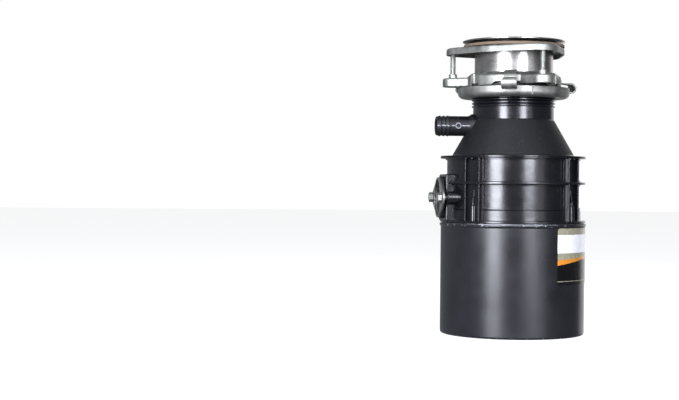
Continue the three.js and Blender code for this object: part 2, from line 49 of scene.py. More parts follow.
MM = 0.001
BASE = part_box("motor_shell")[0].z  # heights in this file are millimetres above the shell's underside
WALL_STEPS = 144  # steps round a large turned piece


def heights(node):
    """Lowest and highest point of a CAD node, in millimetres above the base."""
    low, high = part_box(node)
    return (low.z - BASE) / MM, (high.z - BASE) / MM


def reach(node):
    """Half the width of a round CAD node along Y, in millimetres."""
    low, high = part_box(node)
    return (high.y - low.y) / 2 / MM


def rounded(corners, steps=5):
    """A closed outline of (across, up) or (across, up, fillet) corners, each fillet drawn as an arc."""
    outline = []
    for i, corner in enumerate(corners):
        here = Vector(corner[:2])
        fillet = corner[2] if len(corner) > 2 else 0
        if not fillet:
            outline.append(here)
            continue
        back = Vector(corners[i - 1][:2]) - here
        ahead = Vector(corners[(i + 1) % len(corners)][:2]) - here
        half = back.angle(ahead) / 2
        cut_back = min(fillet / math.tan(half), 0.49 * min(back.length, ahead.length))
        centre = here + (back.normalized() + ahead.normalized()).normalized() * cut_back / math.cos(half)
        start = here + back.normalized() * cut_back - centre
        end = here + ahead.normalized() * cut_back - centre
        first = math.atan2(start.y, start.x)
        sweep = (math.atan2(end.y, end.x) - first + math.pi) % math.tau - math.pi
        for step in range(steps + 1):
            angle = first + sweep * step / steps
            outline.append(centre + start.length * Vector((math.cos(angle), math.sin(angle))))
    return outline


def tidied(shape):
    """Merges doubles and turns the faces outwards."""
    bmesh.ops.remove_doubles(shape, verts=shape.verts, dist=1e-6)
    bmesh.ops.dissolve_degenerate(shape, edges=shape.edges, dist=1e-7)
    bmesh.ops.recalc_face_normals(shape, faces=shape.faces)
    return shape


def turned(outline, steps=WALL_STEPS, closed=True):
    """Spins an outline of (radius, height) round the vertical axis; an open one ends on the axis."""
    shape = bmesh.new()
    verts = [shape.verts.new((r * MM, 0, BASE + h * MM)) for r, h in outline]
    pairs = list(zip(verts, verts[1:])) + ([(verts[-1], verts[0])] if closed else [])
    edges = [shape.edges.new(pair) for pair in pairs]
    bmesh.ops.spin(shape, geom=verts + edges, cent=(0, 0, 0), axis=(0, 0, 1), angle=math.tau,
                   steps=steps, use_merge=True)
    return tidied(shape)


def moved(shape, x=0, y=0, h=0, turn=0):
    """Shifts a shape by millimetres, then turns it about the vertical axis by degrees from the front."""
    bmesh.ops.translate(shape, vec=(x * MM, y * MM, h * MM), verts=shape.verts)
    bmesh.ops.rotate(shape, cent=(0, 0, 0), matrix=Matrix.Rotation(math.radians(turn), 3, "Z"),
                     verts=shape.verts)
    return shape


def as_mesh(name, shape):
    """The shape as a mesh. The bmesh is used up."""
    mesh = bpy.data.meshes.new(name)
    shape.to_mesh(mesh)
    shape.free()
    return mesh


def placed(name, contents):
    """A new object in the scene."""
    holder = bpy.data.objects.new(name, contents)
    bpy.context.scene.collection.objects.link(holder)
    return holder


def joined(*shapes):
    """All the shapes in one bmesh."""
    whole = bmesh.new()
    for shape in shapes:
        passing = as_mesh("passing", shape)
        whole.from_mesh(passing)
        bpy.data.meshes.remove(passing)
    return whole


def applied(*holders):
    """The first object's shape with its modifiers applied. All the objects are removed."""
    bpy.context.view_layer.update()
    result = bmesh.new()
    result.from_object(holders[0], bpy.context.evaluated_depsgraph_get())
    for holder in holders:
        mesh = holder.data
        bpy.data.objects.remove(holder)
        bpy.data.meshes.remove(mesh)
    return result


def carved(shape, tool, operation="DIFFERENCE"):
    """The first shape cut by, or joined with, the second."""
    stock, cutter = [placed("carving", as_mesh("carving", made)) for made in (shape, tool)]
    modifier = stock.modifiers.new("carve", "BOOLEAN")
    modifier.object, modifier.operation, modifier.solver = cutter, operation, "MANIFOLD"
    result = applied(stock, cutter)
    bmesh.ops.remove_doubles(result, verts=result.verts, dist=1e-6)
    bmesh.ops.dissolve_degenerate(result, edges=result.edges, dist=1e-6)
    return result


def finished(name, shape, finish, body, stands_for=(), crease=38):
    """Makes the shape a piece that rides on a body and stands for its CAD nodes."""
    for face in shape.faces:
        face.smooth = True
    for edge in shape.edges:
        edge.smooth = edge.calc_face_angle(0) < math.radians(crease)
    piece = placed(name, as_mesh(name, shape))
    piece.data.materials.append(finish)
    piece.modifiers.new("even shading", "WEIGHTED_NORMAL").keep_sharp = True
    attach(piece, body)
    if stands_for:
        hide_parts(*stands_for)
    return piece


def linear(code):
    """An sRGB hex colour as linear RGBA."""
    channels = [int(code[i:i + 2], 16) / 255 for i in (1, 3, 5)]
    return (*[c / 12.92 if c <= 0.04045 else ((c + 0.055) / 1.055) ** 2.4 for c in channels], 1)


def fill(tree, node, sockets):
    """Gives a node's sockets values, colour codes or links, in order or by name."""
    in_use = [socket for socket in node.inputs if socket.enabled]
    for key, value in sockets.items() if isinstance(sockets, dict) else enumerate(sockets):
        socket = node.inputs[key] if isinstance(key, str) else in_use[key]
        if isinstance(value, bpy.types.NodeSocket):
            tree.links.new(value, socket)
        else:
            socket.default_value = linear(value) if isinstance(value, str) else value


def add(tree, kind, sockets=(), output=0, **settings):
    """Adds a node with its settings and links, and returns one of its outputs."""
    node = tree.nodes.new("ShaderNode" + kind)
    for setting, value in settings.items():
        setattr(node, setting, value)
    fill(tree, node, sockets)
    if isinstance(output, str):
        return node.outputs[output]
    return [socket for socket in node.outputs if socket.enabled][output]


def new_material(name):
    """A new material, its tree, its Principled shader and its Object coordinates."""
    made = bpy.data.materials.new(name)
    made.use_nodes = True
    tree = made.node_tree
    shader = tree.nodes["Principled BSDF"]
    return made, tree, shader, add(tree, "TexCoord", output="Object")


def turning_lines(tree, where, spacing_mm):
    """Fine lines that run round the vertical axis, on walls and on flat faces alike: 0 to 1."""
    apart = add(tree, "SeparateXYZ", (where,)).node.outputs
    flat = add(tree, "CombineXYZ", (apart["X"], apart["Y"]))
    radius = add(tree, "VectorMath", (flat,), operation="LENGTH")
    along = add(tree, "Math", (radius, apart["Z"]), operation="ADD")
    stretched = add(tree, "Math", (along, 60.0), operation="MULTIPLY")
    swept = add(tree, "CombineXYZ", (apart["X"], apart["Y"], stretched))
    return add(tree, "TexNoise", {"Vector": swept, "Scale": 1 / (60 * spacing_mm * MM),
                                  "Detail": 2.0, "Roughness": 0.6})


def brushed_stainless():
    """304 stainless, brushed round its axis. Warm grey metal whose highlights streak along the tube."""
    made, tree, shader, where = new_material("brushed stainless steel")
    lines = turning_lines(tree, where, 0.35)  # coarser than the real grit, so that it shows
    clouds = add(tree, "TexNoise", (where, 1 / (14 * MM), 3, 0.5))
    colour = add(tree, "Mix", (add(tree, "MapRange", (clouds, 0.3, 0.7, 0, 1)), "#a09e99", "#b4b2ad"),
                 data_type="RGBA")
    fine_rough = add(tree, "MapRange", (lines, 0.3, 0.7, 0.23, 0.3))
    broad_rough = add(tree, "MapRange", (clouds, 0.3, 0.7, 0, 0.05))
    rough = add(tree, "Math", (fine_rough, broad_rough), operation="ADD")
    bump = add(tree, "Bump", {"Height": lines, "Strength": 0.05, "Distance": 0.0002})
    fill(tree, shader, {"Base Color": colour, "Roughness": rough, "Normal": bump, "Metallic": 1.0})
    return made


stainless = brushed_stainless()
tube_bottom, rim_top = heights("sink_flange")
rim = reach("sink_flange")
TUBE = 43.5
TUBE_WALL = 1.4
SEAT = rim_top - 1.7
groove = (284.3, 287.5)
sink_flange = turned(rounded([
    (TUBE, tube_bottom, 0.4), (TUBE, groove[0] - 0.4, 0.3), (TUBE - 0.8, groove[0], 0.3),
    (TUBE - 0.8, groove[1], 0.3), (TUBE, groove[1] + 0.4, 0.3), (TUBE, SEAT, 4.5), (rim, SEAT, 0.5),
    (rim, rim_top - 0.5, 0.4), (rim - 1.6, rim_top, 1.2), (TUBE - TUBE_WALL, rim_top, 5.5),
    (TUBE - TUBE_WALL, groove[1] + 0.7, 0.3), (TUBE - TUBE_WALL - 0.7, groove[1] + 0.2, 0.3),
    (TUBE - TUBE_WALL - 0.7, groove[0] - 0.2, 0.3), (TUBE - TUBE_WALL, groove[0] - 0.7, 0.3),
    (TUBE - TUBE_WALL, tube_bottom, 0.3),
]))
finished("sink_sleeve", sink_flange, stainless, "unit", ["sink_flange"])

# ---- Fibre gasket ----
# A flat ring die-cut from pressed fibre, between the sink's underside and the backup flange.
# It is tan and dull, with short fibres in all directions.


def pressed_fibre():
    """Vulcanised fibre sheet: matt tan with darker flecks."""
    made, tree, shader, where = new_material("pressed fibre")
    flecks = add(tree, "TexNoise", (where, 1 / (0.9 * MM), 5, 0.5))
    colour = add(tree, "Mix", (add(tree, "MapRange", (flecks, 0.35, 0.65, 0, 1)), "#514639", "#6b5c4a"),
                 data_type="RGBA")
    bump = add(tree, "Bump", {"Height": flecks, "Strength": 0.4, "Distance": 0.0003})
    fill(tree, shader, {"Base Color": colour, "Normal": bump, "Roughness": 0.85})
    return made


low, high = heights("fibre_gasket")
gasket = turned(rounded([(48, low, 0.3), (56, low, 0.3), (56, high, 0.3), (48, high, 0.3)], 2), 96)
finished("fibre_ring", gasket, pressed_fibre(), "unit", ["fibre_gasket"])

# ---- Backup flange ----
# A three-lobed plate pressed from 2 mm steel with its edge folded down, then zinc plated.
# The three mounting screws push it up against the gasket.

EAR_TURNS = [16, 136, 256]  # where the three ears and screws stand, in degrees from the front


def bearing(turn, radius):
    """The point at that turn from the front and that radius."""
    return Vector((radius * math.sin(math.radians(turn)), -radius * math.cos(math.radians(turn))))


def pulled(corners, along):
    """A flat face with those corners, pulled along a vector."""
    shape = bmesh.new()
    face = shape.faces.new([shape.verts.new(corner) for corner in corners])
    grown = bmesh.ops.extrude_face_region(shape, geom=[face])["geom"]
    bmesh.ops.translate(shape, vec=along, verts=[v for v in grown if isinstance(v, bmesh.types.BMVert)])
    bmesh.ops.holes_fill(shape, edges=[e for e in shape.edges if e.is_boundary], sides=0)
    return tidied(shape)


def raised(outline, bottom, top):
    """A flat outline in plan, pulled up from bottom to top."""
    return pulled([(x * MM, y * MM, BASE + bottom * MM) for x, y in outline], (0, 0, (top - bottom) * MM))


def eased(shape, radius, chosen=lambda edge: True, segments=4):
    """Rounds the sharp edges of a shape that the test picks, by a radius in millimetres."""
    sharp = [e for e in shape.edges if e.calc_face_angle(0) > math.radians(50) and chosen(e)]
    bmesh.ops.bevel(shape, geom=sharp, offset=radius * MM, offset_type="OFFSET", segments=segments,
                    profile=0.5, affect="EDGES", material=-1, clamp_overlap=True)
    return shape


def lobes(radius, tip, tip_centre, facings, tip_steps=16, disc_steps=10):
    """The outline wrapped tightly round a disc and the round tips of evenly spaced ears."""
    lean = math.degrees(math.acos((radius - tip) / tip_centre))
    gap = 360 / len(facings) - 2 * lean
    outline = []
    for facing in facings:
        centre = bearing(facing, tip_centre)
        outline += [centre + bearing(facing - lean + 2 * lean * step / tip_steps, tip)
                    for step in range(tip_steps + 1)]
        outline += [bearing(facing + lean + gap * step / disc_steps, radius)
                    for step in range(1, disc_steps)]
    return outline


def above(height):
    """A test for edges whose middle is above a height."""
    return lambda edge: (edge.verts[0].co.z + edge.verts[1].co.z) / 2 > BASE + height * MM


def zinc_plated_steel():
    """Pressed steel with bright zinc plate: grey, satin, with faint clouds and dull handling marks."""
    made, tree, shader, where = new_material("zinc-plated steel")
    clouds = add(tree, "TexNoise", (where, 1 / (9 * MM), 4, 0.5))
    grain = add(tree, "TexNoise", (where, 1 / (1.1 * MM), 2, 0.5))
    colour = add(tree, "Mix", (add(tree, "MapRange", (clouds, 0.3, 0.7, 0, 1)), "#868781", "#a0a19b"),
                 data_type="RGBA")
    colour = add(tree, "Mix", (add(tree, "MapRange", (grain, 0.55, 0.75, 0, 0.35)), colour, "#6c6c68"),
                 data_type="RGBA")
    broad_rough = add(tree, "MapRange", (clouds, 0.3, 0.7, 0.42, 0.54))
    fine_rough = add(tree, "MapRange", (grain, 0.3, 0.8, 0, 0.12))
    rough = add(tree, "Math", (broad_rough, fine_rough), operation="ADD")
    waves = add(tree, "TexNoise", (where, 1 / (4.5 * MM), 2, 0.5))
    bump = add(tree, "Bump", {"Height": waves, "Strength": 0.25, "Distance": 0.0006})
    fine = add(tree, "Bump", {"Height": grain, "Strength": 0.12, "Distance": 0.0002, "Normal": bump})
    fill(tree, shader, {"Base Color": colour, "Roughness": rough, "Normal": fine, "Metallic": 1.0})
    return made


zinc = zinc_plated_steel()
low, high = heights("backup_flange")
PRESSED = 2.0
LOBE = 24.5
LOBE_CENTRE = 51
plate = eased(raised(lobes(56, LOBE, LOBE_CENTRE, EAR_TURNS), low, high), 2.8, above(high - 1), 6)
hollow = raised(lobes(56 - PRESSED, LOBE - PRESSED, LOBE_CENTRE, EAR_TURNS), low - 2, high - PRESSED)
plate = carved(plate, eased(hollow, 1.4, above(high - PRESSED - 1), 3))
throat = turned([(0, low - 1), (43.9, low - 1), (43.9, high + 1), (0, high + 1)], closed=False)
plate = carved(plate, throat)
finished("backup_plate", plate, zinc, "unit", ["backup_flange"])

# ---- Snap ring ----
# A ring of round spring wire, sprung into the tube's groove. The mounting ring rests on it.
# The CAD node has its real shape, so it only takes a finish.


def coated(node, finish):
    """Gives a CAD node its finish."""
    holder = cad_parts[node]
    holder.data.materials.clear()
    holder.data.materials.append(finish)


def ground_steel():
    """Ground and oiled steel: bright, with fine lines round its axis."""
    made, tree, shader, where = new_material("ground steel")
    lines = turning_lines(tree, where, 0.25)
    colour = add(tree, "Mix", (lines, "#b7b9bb", "#cccdce"), data_type="RGBA")
    rough = add(tree, "MapRange", (lines, 0.3, 0.7, 0.18, 0.3))
    fill(tree, shader, {"Base Color": colour, "Roughness": rough, "Metallic": 1.0})
    return made


bright_steel = ground_steel()
coated("snap_ring", bright_steel)

# ---- Upper mounting ring ----
# Pressed from 2 mm steel and zinc plated: a dome that sits over the snap ring, with three ears whose
# edges are folded down. Each ear has a drawn and tapped collar, and the dome has three notches.

SCREW_CIRCLE = 68
ring_low, collar_top = heights("mounting_ring")
EAR_TOP = collar_top - 4.7
SKIRT = 52.5
SKIRT_BOTTOM = 277.6
LIP = 44.3
LIP_TOP = 289.5


def ear_outline(tip, flank):
    """An ear seen from above, at the front."""
    outline = [Vector((-flank, -45))]
    for step in range(17):
        outline.append(bearing(-80 + 10 * step, tip) + Vector((0, -SCREW_CIRCLE)))
    return outline + [Vector((flank, -45))]


def post(radius, bottom, top, x=0, y=0, steps=32, ease=0.0):
    """A round post with eased rims."""
    shape = bmesh.new()
    bmesh.ops.create_cone(shape, cap_ends=True, segments=steps, radius1=radius * MM, radius2=radius * MM,
                          depth=(top - bottom) * MM,
                          matrix=Matrix.Translation((x * MM, y * MM, BASE + (bottom + top) / 2 * MM)))
    return eased(shape, ease, segments=3) if ease else shape


def block(x, y, h, ease=0.0, segments=3):
    """A box between two values along each axis, with eased edges."""
    size = [(high - low) * MM for low, high in (x, y, h)]
    middle = Vector([(low + high) / 2 * MM for low, high in (x, y, h)]) + Vector((0, 0, BASE))
    shape = bmesh.new()
    bmesh.ops.create_cube(shape, size=1, matrix=Matrix.Translation(middle) @ Matrix.Diagonal((*size, 1)))
    return eased(shape, ease, segments=segments) if ease else shape


def softened(shape, grain, rounds):
    """Runs overlapping shapes together and rounds every corner, as a press leaves it."""
    holder = placed("pressing", as_mesh("pressing", shape))
    remesh = holder.modifiers.new("run together", "REMESH")
    remesh.mode, remesh.voxel_size = "VOXEL", grain * MM
    smooth = holder.modifiers.new("round", "SMOOTH")
    smooth.factor, smooth.iterations = 0.5, rounds
    return applied(holder)


def turn_of(vert):
    """How far round a vertex stands, in degrees from the front."""
    return math.degrees(math.atan2(vert.co.x, -vert.co.y))


dome = turned(rounded([
    (LIP, LIP_TOP - PRESSED, 0.3), (45.9, LIP_TOP - PRESSED, 1), (SKIRT - PRESSED, 283.9, 1.2),
    (SKIRT - PRESSED, SKIRT_BOTTOM, 0.4), (SKIRT, SKIRT_BOTTOM, 0.4), (SKIRT, 285.2, 3),
    (46.8, LIP_TOP, 2.2), (LIP, LIP_TOP, 0.5),
]))
NOTCH_BEHIND = 83.3  # how far each notch stands behind its ear, in degrees
RAMP_DROP = 3.4  # the skirt's edge steps down to a ramp between each pair of notches
for vert in dome.verts:
    if vert.co.z < BASE + 279 * MM:
        past = (turn_of(vert) - 30) % 120
        share = min(max(min(past, 56 - past) / 5, 0), 1)
        vert.co.z -= RAMP_DROP * MM * share
trays = []
for facing in EAR_TURNS:
    tray = eased(raised(ear_outline(11.5, 19), ring_low, EAR_TOP), 2.4, above(EAR_TOP - 1), 5)
    hollow = eased(raised(ear_outline(9.5, 17), ring_low - 2, EAR_TOP - PRESSED), 1,
                   above(EAR_TOP - PRESSED - 1), 3)
    tray = carved(tray, hollow)
    tray = carved(tray, turned([(0, ring_low - 1), (SKIRT - 1.6, ring_low - 1), (SKIRT - 1.6, EAR_TOP + 1),
                                (0, EAR_TOP + 1)], 96, closed=False))
    trays.append(moved(tray, turn=facing))
for tray in trays:
    dome = carved(dome, tray, "UNION")
dome = softened(dome, 0.55, 4)
for facing in EAR_TURNS:
    at = bearing(facing, SCREW_CIRCLE)
    dome = carved(dome, post(4.6, EAR_TOP - 0.8, collar_top, at.x, at.y, ease=0.7), "UNION")
    dome = carved(dome, post(3.55, ring_low - 1, collar_top + 1, at.x, at.y))
    pocket = carved(block((-9.2, 9.2), (-50.6, -46.1), (SKIRT_BOTTOM, 285.2)),
                    block((-9.2, 9.2), (-47.5, -46.1), (SKIRT_BOTTOM + 1, 288)), "UNION")
    dome = carved(dome, moved(pocket, turn=facing - NOTCH_BEHIND), "UNION")
    notch = block((-7.8, 7.8), (-60, -47.2), (270, LIP_TOP + 1), 1.5)
    dome = carved(dome, moved(notch, turn=facing - NOTCH_BEHIND))
finished("upper_mounting_ring", dome, zinc, "unit", ["mounting_ring"])

# ---- Mounting screws ----
# Three 1/4-20 hexagon screws, cold headed, with rolled threads and zinc plate. They stand in the
# ears' collars and push the backup flange up. The thread is a real helix.

PITCH = 1.27
screw_low, screw_high = heights("mounting_screw_1")


def thread(root, crest, pitch, bottom, top, steps=20):
    """A helical ridge round the vertical axis."""
    shape = bmesh.new()
    section = [(root - 0.25, -0.45 * pitch), (crest, -0.06 * pitch), (crest, 0.06 * pitch),
               (root - 0.25, 0.45 * pitch)]
    verts = [shape.verts.new((r * MM, 0, BASE + (bottom + h) * MM)) for r, h in section]
    edges = [shape.edges.new(pair) for pair in zip(verts, verts[1:] + verts[:1])]
    turns = (top - bottom) / pitch
    count = round(turns * steps)
    bmesh.ops.spin(shape, geom=verts + edges, cent=(0, 0, 0), axis=(0, 0, 1), angle=math.tau * turns,
                   dvec=(0, 0, (top - bottom) * MM / count), steps=count, use_merge=False)
    bmesh.ops.holes_fill(shape, edges=[e for e in shape.edges if e.is_boundary], sides=0)
    return tidied(shape)


def hexagon(flats):
    """A hexagon's corners, given the width across its flats."""
    return [bearing(60 * i, flats / 2 / math.cos(math.pi / 6)) for i in range(6)]


for i, facing in enumerate(EAR_TURNS):
    at = bearing(facing, SCREW_CIRCLE)
    shank = joined(
        post(2.8, screw_low + 3, screw_high, ease=0.5),
        thread(2.8, 3.15, PITCH, screw_low + 6, screw_high - 1),
        eased(raised(hexagon(11), screw_low, screw_low + 4.4), 0.4),
        post(5.2, screw_low + 3.4, screw_low + 4.6, ease=0.3),
    )
    finished(f"clamp_screw_{i + 1}", moved(shank, at.x, at.y), zinc, "unit", [f"mounting_screw_{i + 1}"])

# ---- Lower mounting ring ----
# A pressed and zinc-plated cup that carries the unit by the hopper's lip. Three straps are rolled
# into loops for the turning bar, and their ends reach in over the upper ring's dome.

cup_low = heights("lower_mounting_ring")[0]
CUP = 62.0
CUP_TOP = 273.2
CUP_BORE = 46.2
HOOK_TURNS = [-15.3, 104.7, 224.7]
HOOK_WIDTH = 16.5
ROLL = (68.8, 275.2, 6.1)  # the loop's centre and outer radius


def strap():
    """One hook at the front, its edges eased and its upper part narrower than the loop."""
    across, up, radius = ROLL
    loop = [Vector((across + radius * math.cos(a), up + radius * math.sin(a)))
            for a in (math.radians(-78 + 168 * step / 22) for step in range(23))]
    core = [Vector((across + (radius - PRESSED) * math.cos(a), up + (radius - PRESSED) * math.sin(a)))
            for a in (math.radians(90 - 168 * step / 22) for step in range(23))]
    reach_in = rounded([(57.4, 281.4, 2.5), (55.4, 285.6, 2), (48, 291.1, 0.7), (48, 288.7, 0.5),
                        (53.2, 284.9, 1), (54, 280.2, 2.5)])
    outline = [Vector((60.5, 268.7)), *loop, *reach_in, *core, Vector((60.5, 270.9))]
    side = HOOK_WIDTH / 2 * MM
    shape = pulled([(side, -r * MM, BASE + h * MM) for r, h in outline], (-2 * side, 0, 0))
    for vert in shape.verts:
        if vert.co.z > BASE + 277.4 * MM:
            vert.co.x *= 0.82
    return eased(shape, 0.45,
                 lambda edge: abs(abs(edge.verts[0].co.x) - abs(edge.verts[1].co.x)) < 1.5 * MM, 2)


cup = turned(rounded([
    (CUP_BORE, cup_low, 0.4), (CUP, cup_low, 9.4), (CUP, CUP_TOP, 0.9), (CUP - PRESSED, CUP_TOP, 0.9),
    (CUP - PRESSED, cup_low + PRESSED, 7.4), (CUP_BORE, cup_low + PRESSED, 0.4),
], 8))
butt_joint = block((-0.55, 0.55), (-CUP - 1, -CUP + 1.2), (263.5, CUP_TOP + 1))
cup = carved(cup, moved(butt_joint, turn=7.8))
cup = joined(cup, *[moved(strap(), turn=facing) for facing in HOOK_TURNS])
finished("lock_ring_cup", cup, zinc, "lock_ring", ["lower_mounting_ring"])

# ---- Splash guard ----
# Moulded nitrile rubber: a collar between the hopper's lip and the sink tube, and eight flaps across
# the throat, slit from a thin cone that sags towards the middle.


def moulded_rubber():
    """Black nitrile rubber: dull, faintly mottled, with a grey bloom."""
    made, tree, shader, where = new_material("moulded rubber")
    bloom = add(tree, "TexNoise", (where, 1 / (6 * MM), 4, 0.5))
    colour = add(tree, "Mix", (add(tree, "MapRange", (bloom, 0.4, 0.7, 0, 1)), "#131314", "#222224"),
                 data_type="RGBA")
    pebbles = add(tree, "TexNoise", (where, 1 / (0.6 * MM), 3, 0.5))
    bump = add(tree, "Bump", {"Height": pebbles, "Strength": 0.2, "Distance": 0.0002})
    rough = add(tree, "MapRange", (bloom, 0.3, 0.7, 0.55, 0.72))
    fill(tree, shader, {"Base Color": colour, "Roughness": rough, "Normal": bump})
    return made


rubber = moulded_rubber()
guard = turned(rounded([
    (42, 266.9, 0.3), (55, 266.9, 0.5), (55, 270.5, 1), (49.5, 272, 1), (49.5, 276.8, 0.6), (44, 276.8, 0.6),
    (44, 272.7, 0.3), (40.8, 272.7, 1.2), (34, 270.9, 12), (13, 265.6, 0.7), (13, 264, 0.5), (34, 268.6, 12),
    (40.6, 270.4, 1),
], 3), 128)
for i in range(8):
    guard = carved(guard, moved(block((-0.4, 0.4), (-38, -12), (260, 276)), turn=22.5 + 45 * i))
finished("baffle", guard, rubber, "unit", ["splash_guard"])

# ---- Hopper ----
# Injection-moulded in black glass-filled plastic: a cone up to a ribbed neck and a lip, with the barbed
# dishwasher inlet on its side. The cone is spark-textured and dull; the neck and inlet are polished.

CONE = 67.8
NECK = 45.0
NECK_INNER = 41.5
CONE_TOP = 238.1
INLET_H = 230.7
INLET = 11.1
BOSS_AT = -63.8  # the gate boss on the inlet's front side
BOSS_OUT = 12.1


def seam_highlight(tree, where):
    """How much pale painted highlight lies on the inlet's parting line and round its gate boss: broken
    dashes and a ring, front side only.
    """
    apart = add(tree, "SeparateXYZ", (where,)).node.outputs
    off = add(tree, "Math", (apart["Z"], BASE + INLET_H * MM), operation="SUBTRACT")
    off = add(tree, "Math", (off,), operation="ABSOLUTE")
    line = add(tree, "MapRange", (off, 0.3 * MM, 0.7 * MM, 1, 0))
    front = add(tree, "MapRange", (apart["Y"], (1.3 - INLET) * MM, (0.8 - INLET) * MM, 0, 1))
    outward = add(tree, "MapRange", (apart["X"], -50 * MM, -52 * MM, 0, 1))
    broken = add(tree, "TexNoise", (where, 1 / (1.6 * MM), 1, 0.5))
    dashes = add(tree, "MapRange", (broken, 0.42, 0.5, 0, 0.8))
    from_boss = add(tree, "VectorMath", (where, (BOSS_AT * MM, -BOSS_OUT * MM, BASE + INLET_H * MM)),
                    operation="DISTANCE")
    ring_in = add(tree, "MapRange", (from_boss, 1.9 * MM, 2.3 * MM, 0, 1))
    ring_out = add(tree, "MapRange", (from_boss, 3.3 * MM, 3.7 * MM, 0.38, 0))
    ring = add(tree, "Math", (ring_in, ring_out), operation="MULTIPLY")
    beside = add(tree, "MapRange", (from_boss, 3.5 * MM, 4 * MM, 0, 1))
    marks = line
    for operation, other in (("MULTIPLY", dashes), ("MULTIPLY", beside), ("MAXIMUM", ring),
                             ("MULTIPLY", front), ("MULTIPLY", outward)):
        marks = add(tree, "Math", (marks, other), operation=operation)
    return marks


def moulded_black(name, dull_from, dull_to):
    """Black glass-filled plastic: glossy, but dull and a little grey between the two heights."""
    made, tree, shader, where = new_material(name)
    height = add(tree, "SeparateXYZ", (where,), output="Z")
    rising = add(tree, "MapRange", (height, BASE + dull_from * MM, BASE + (dull_from + 1) * MM, 0, 1))
    falling = add(tree, "MapRange", (height, BASE + (dull_to - 1) * MM, BASE + dull_to * MM, 1, 0))
    dull = add(tree, "Math", (rising, falling), operation="MULTIPLY")
    flow = add(tree, "TexNoise", (where, 1 / (22 * MM), 2, 0.5))
    grit = add(tree, "TexNoise", (where, 1 / (0.7 * MM), 2, 0.5))
    specks = add(tree, "TexNoise", (where, 1 / (2.4 * MM), 6, 0.5))
    dust = add(tree, "MapRange", (specks, 0.6, 0.78, 0, 0.5))
    colour = add(tree, "Mix", (dull, "#0b0b0e", "#0b0b0d"), data_type="RGBA")
    colour = add(tree, "Mix", (dust, colour, "#343438"), data_type="RGBA")
    # pale grey painted on the inlet's parting line and boss ring, as a highlight
    colour = add(tree, "Mix", (seam_highlight(tree, where), colour, "#a3a5aa"), data_type="RGBA")
    polished = add(tree, "MapRange", (flow, 0.3, 0.7, 0.17, 0.25))
    rough = add(tree, "Mix", {"Factor": dull, "A": polished, "B": 0.55})
    waves = add(tree, "Bump", {"Height": flow, "Strength": 0.15, "Distance": 0.002})
    texture = add(tree, "Bump", {"Height": grit, "Strength": add(tree, "MapRange", (dull, 0, 1, 0.03, 0.3)),
                                 "Distance": 0.0002, "Normal": waves})
    sheen = add(tree, "MapRange", (dull, 0, 1, 0.52, 0.3))
    fill(tree, shader, {"Base Color": colour, "Roughness": rough, "Specular IOR Level": sheen,
                        "Normal": texture})
    return made


def level_bar(radius, start, end, y, h, steps=40, ease=0.0):
    """A round bar along X, from start to end."""
    shape = bmesh.new()
    middle = Vector(((start + end) / 2 * MM, y * MM, BASE + h * MM))
    place = Matrix.Translation(middle) @ Matrix.Rotation(math.pi / 2, 4, "Y")
    bmesh.ops.create_cone(shape, cap_ends=True, segments=steps, radius1=radius * MM, radius2=radius * MM,
                          depth=(end - start) * MM, matrix=place)
    return eased(shape, ease, segments=4) if ease else shape


def tipped(shape, quarters, x, h):
    """Tips a shape made at the base by quarter turns about the axes named, and moves it to x and h."""
    bmesh.ops.translate(shape, vec=(0, 0, -BASE), verts=shape.verts)
    for axis, quarter in quarters.items():
        bmesh.ops.rotate(shape, cent=(0, 0, 0), matrix=Matrix.Rotation(quarter * math.pi / 2, 3, axis),
                         verts=shape.verts)
    bmesh.ops.translate(shape, vec=(x * MM, 0, BASE + h * MM), verts=shape.verts)
    return shape


inlet_end = -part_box("hopper")[0].x / MM
foot = heights("hopper")[0]
SEAM = 196.1
barbs = []
for barb in (76.2, 80.5, 85):
    barbs += [(INLET + 0.6, barb - 2.2, 0.3), (INLET - 0.5, barb + 1, 0.3)]
spigot = turned(rounded([
    (0, 40), (INLET + 2.4, 40), (INLET + 2.4, 47, 0.5), (INLET, 51, 4), (INLET, 73, 0), *barbs,
    (INLET - 0.9, inlet_end, 0.8), (0, inlet_end),
], 4), 72, closed=False)
spigot = tipped(spigot, {"Y": -1}, 0, INLET_H)
boss = turned(rounded([
    (0, 10), (3.9, 10), (3.7, BOSS_OUT, 0.6), (2, BOSS_OUT, 0.4), (1.7, 11.5, 0.3), (0, 11.3),
], 4), 40, closed=False)
spigot = carved(spigot, tipped(boss, {"X": 1}, BOSS_AT, INLET_H), "UNION")
seam_levels = (INLET_H - 0.3, INLET_H + 0.3)
parting_line = block((2 - inlet_end, -52), (-INLET - 0.3, 1 - INLET), seam_levels, 0.15, 1)
spigot = carved(spigot, parting_line, "UNION")
bore = turned([(0, 54), (8.6, 54), (8.6, 90), (0, 90)], 72, closed=False)
bore = tipped(bore, {"Y": -1}, 0, INLET_H)
cavity = turned(rounded([(0, 190), (68.2, 190), (68.2, 195, 1), (65.2, 198, 1), (NECK_INNER + 0.4, 239, 3),
                         (NECK_INNER + 0.4, 262), (0, 262)], 4), closed=False)
spigot = carved(carved(spigot, cavity), bore)
ribs = []
for rib in (252.6, 256.1, 259.6):
    ribs += [(NECK - 0.2, rib - 1.3, 0.2), (NECK + 1.4, rib - 0.5, 0.35), (NECK + 1.4, rib + 0.5, 0.35),
             (NECK - 0.9, rib + 1.3, 0.5)]
shell = turned(rounded([
    (68.2, foot, 0.4), (71.1, foot, 0.4), (71.1, SEAM, 0), (80.6, SEAM, 0.35), (80.6, SEAM + 1.2, 0.35),
    (CONE + 0.4, SEAM + 1.2, 1.2), (NECK, CONE_TOP, 2.5), *ribs, (NECK - 0.9, 263, 0.3),
    (NECK, 264.1, 0.3), (54, 264.1, 0.5), (54, 266.6, 0.8),
    (NECK_INNER, 266.6, 1), (NECK_INNER, 239, 3), (65.2, 198, 1), (68.2, 195, 1),
], 4))
hopper_skin = moulded_black("glass-filled plastic, textured cone", 198.5, 237.5)
